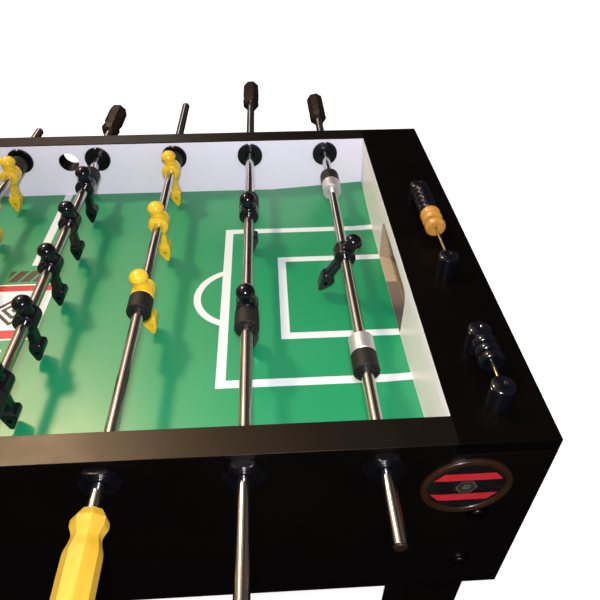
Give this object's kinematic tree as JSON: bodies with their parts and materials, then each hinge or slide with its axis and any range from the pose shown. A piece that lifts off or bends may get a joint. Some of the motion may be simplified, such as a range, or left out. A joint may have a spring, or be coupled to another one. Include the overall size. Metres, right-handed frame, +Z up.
{
  "type": "foosball table",
  "caption": "Free-standing table football cabinet with sliding and spinning rods of figures, goals, ball returns, bead score counters and levelling feet.",
  "frame": {"origin": "on the floor, under the centre of the table's bounding box, which is also under the playfield's centre", "axes": "+X along the playfield from goal to goal, towards the goal of the black team's keeper; +Y across it, towards the black team's handles; +Z up"},
  "size_m": [1.422, 1.3944, 0.9545],
  "materials": {
    "cabinet_black": "satin black laminate",
    "liner_white": "smooth white laminate",
    "end_wall_white": "white laminate with bare cut edges",
    "hardboard": "bare hardboard",
    "playfield_green": "green laminate with white lines, semi-gloss",
    "plywood": "clear-coated plywood",
    "bearing_black": "black moulded nylon",
    "medallion": "glossy black ring with a red and black face",
    "bolt_steel": "zinc-plated steel",
    "leveller_steel": "black steel foot",
    "counter_black": "glossy black",
    "counter_tan": "glossy tan",
    "counter_wire": "bare wire",
    "rod_chrome": "polished chrome",
    "men_black": "glossy moulded plastic",
    "men_yellow": "glossy moulded plastic",
    "handle_black": "dark satin paint",
    "handle_yellow": "yellow satin paint",
    "bumper_rubber": "dark moulded rubber",
    "collar_aluminium": "satin turned aluminium"
  },
  "bodies": {
    "cabinet": {"side_panels": "cabinet_black", "side_liners": "liner_white", "end_panels": "cabinet_black", "end_walls": "end_wall_white", "end_ledges": "cabinet_black", "cabinet_floor": "hardboard", "playfield": "playfield_green", "corner_ramps": "playfield_green", "goal_boxes": "plywood", "bearing_flanges": "bearing_black", "bearing_nuts": "bearing_black", "medallions": "medallion", "legs": "cabinet_black", "leg_bolts": "bolt_steel", "score_posts": "counter_black", "score_wires": "counter_wire"},
    "leveller_1_foot": {"leveller_1": "leveller_steel"},
    "leveller_2_foot": {"leveller_2": "leveller_steel"},
    "leveller_3_foot": {"leveller_3": "leveller_steel"},
    "leveller_4_foot": {"leveller_4": "leveller_steel"},
    "long_beads_right": {"beads_right_long_black": "counter_black", "beads_right_long_tan": "counter_tan"},
    "short_beads_right": {"beads_right_short": "counter_black"},
    "long_beads_left": {"beads_left_long_black": "counter_black", "beads_left_long_tan": "counter_tan"},
    "short_beads_left": {"beads_left_short": "counter_black"},
    "rod1_slider": {"rod1_bumpers": "bumper_rubber"},
    "rod1": {"rod1_tube": "rod_chrome", "rod1_men": "men_black", "rod1_handle": "handle_black", "rod1_collars": "collar_aluminium"},
    "rod2_slider": {"rod2_bumpers": "bumper_rubber"},
    "rod2": {"rod2_tube": "rod_chrome", "rod2_men": "men_black", "rod2_handle": "handle_black"},
    "rod3_slider": {"rod3_bumpers": "bumper_rubber"},
    "rod3": {"rod3_tube": "rod_chrome", "rod3_men": "men_yellow", "rod3_handle": "handle_yellow"},
    "rod4_slider": {"rod4_bumpers": "bumper_rubber"},
    "rod4": {"rod4_tube": "rod_chrome", "rod4_men": "men_black", "rod4_handle": "handle_black"},
    "rod5_slider": {"rod5_bumpers": "bumper_rubber"},
    "rod5": {"rod5_tube": "rod_chrome", "rod5_men": "men_yellow", "rod5_handle": "handle_yellow"},
    "rod6_slider": {"rod6_bumpers": "bumper_rubber"},
    "rod6": {"rod6_tube": "rod_chrome", "rod6_men": "men_black", "rod6_handle": "handle_black"},
    "rod7_slider": {"rod7_bumpers": "bumper_rubber"},
    "rod7": {"rod7_tube": "rod_chrome", "rod7_men": "men_yellow", "rod7_handle": "handle_yellow"},
    "rod8_slider": {"rod8_bumpers": "bumper_rubber"},
    "rod8": {"rod8_tube": "rod_chrome", "rod8_men": "men_yellow", "rod8_handle": "handle_yellow", "rod8_collars": "collar_aluminium"}
  },
  "joints": [
    {"name": "leveller_1_screw", "type": "slide", "parent": "cabinet", "child": "leveller_1_foot", "axis": [0, 0, 1], "range_m": [-0.025, 0]},
    {"name": "leveller_2_screw", "type": "slide", "parent": "cabinet", "child": "leveller_2_foot", "axis": [0, 0, 1], "range_m": [-0.025, 0]},
    {"name": "leveller_3_screw", "type": "slide", "parent": "cabinet", "child": "leveller_3_foot", "axis": [0, 0, 1], "range_m": [-0.025, 0]},
    {"name": "leveller_4_screw", "type": "slide", "parent": "cabinet", "child": "leveller_4_foot", "axis": [0, 0, 1], "range_m": [-0.025, 0]},
    {"name": "long_beads_right_slide", "type": "slide", "parent": "cabinet", "child": "long_beads_right", "axis": [0, -1, 0], "range_m": [0, 0.058]},
    {"name": "short_beads_right_slide", "type": "slide", "parent": "cabinet", "child": "short_beads_right", "axis": [0, -1, 0], "range_m": [0, 0.019]},
    {"name": "long_beads_left_slide", "type": "slide", "parent": "cabinet", "child": "long_beads_left", "axis": [0, 1, 0], "range_m": [0, 0.058]},
    {"name": "short_beads_left_slide", "type": "slide", "parent": "cabinet", "child": "short_beads_left", "axis": [0, 1, 0], "range_m": [0, 0.019]},
    {"name": "rod1_slide", "type": "slide", "parent": "cabinet", "child": "rod1_slider", "axis": [0, 1, 0], "range_m": [-0.0892, 0.0892]},
    {"name": "rod1_spin", "type": "hinge", "parent": "rod1_slider", "child": "rod1", "pos_m": [0.525, 0, 0.883], "axis": [0, 1, 0], "continuous": true},
    {"name": "rod2_slide", "type": "slide", "parent": "cabinet", "child": "rod2_slider", "axis": [0, 1, 0], "range_m": [-0.1752, 0.1632]},
    {"name": "rod2_spin", "type": "hinge", "parent": "rod2_slider", "child": "rod2", "pos_m": [0.375, 0, 0.883], "axis": [0, 1, 0], "continuous": true},
    {"name": "rod3_slide", "type": "slide", "parent": "cabinet", "child": "rod3_slider", "axis": [0, 1, 0], "range_m": [-0.2157, 0.0017]},
    {"name": "rod3_spin", "type": "hinge", "parent": "rod3_slider", "child": "rod3", "pos_m": [0.225, 0, 0.883], "axis": [0, 1, 0], "continuous": true},
    {"name": "rod4_slide", "type": "slide", "parent": "cabinet", "child": "rod4_slider", "axis": [0, 1, 0], "range_m": [-0.0477, 0.0557]},
    {"name": "rod4_spin", "type": "hinge", "parent": "rod4_slider", "child": "rod4", "pos_m": [0.075, 0, 0.883], "axis": [0, 1, 0], "continuous": true},
    {"name": "rod5_slide", "type": "slide", "parent": "cabinet", "child": "rod5_slider", "axis": [0, 1, 0], "range_m": [-0.0957, 0.0077]},
    {"name": "rod5_spin", "type": "hinge", "parent": "rod5_slider", "child": "rod5", "pos_m": [-0.075, 0, 0.883], "axis": [0, 1, 0], "continuous": true},
    {"name": "rod6_slide", "type": "slide", "parent": "cabinet", "child": "rod6_slider", "axis": [0, 1, 0], "range_m": [-0.0787, 0.1387]},
    {"name": "rod6_spin", "type": "hinge", "parent": "rod6_slider", "child": "rod6", "pos_m": [-0.225, 0, 0.883], "axis": [0, 1, 0], "continuous": true},
    {"name": "rod7_slide", "type": "slide", "parent": "cabinet", "child": "rod7_slider", "axis": [0, 1, 0], "range_m": [-0.1632, 0.1752]},
    {"name": "rod7_spin", "type": "hinge", "parent": "rod7_slider", "child": "rod7", "pos_m": [-0.375, 0, 0.883], "axis": [0, 1, 0], "continuous": true},
    {"name": "rod8_slide", "type": "slide", "parent": "cabinet", "child": "rod8_slider", "axis": [0, 1, 0], "range_m": [-0.1012, 0.0772]},
    {"name": "rod8_spin", "type": "hinge", "parent": "rod8_slider", "child": "rod8", "pos_m": [-0.525, 0, 0.883], "axis": [0, 1, 0], "continuous": true}
  ]
}
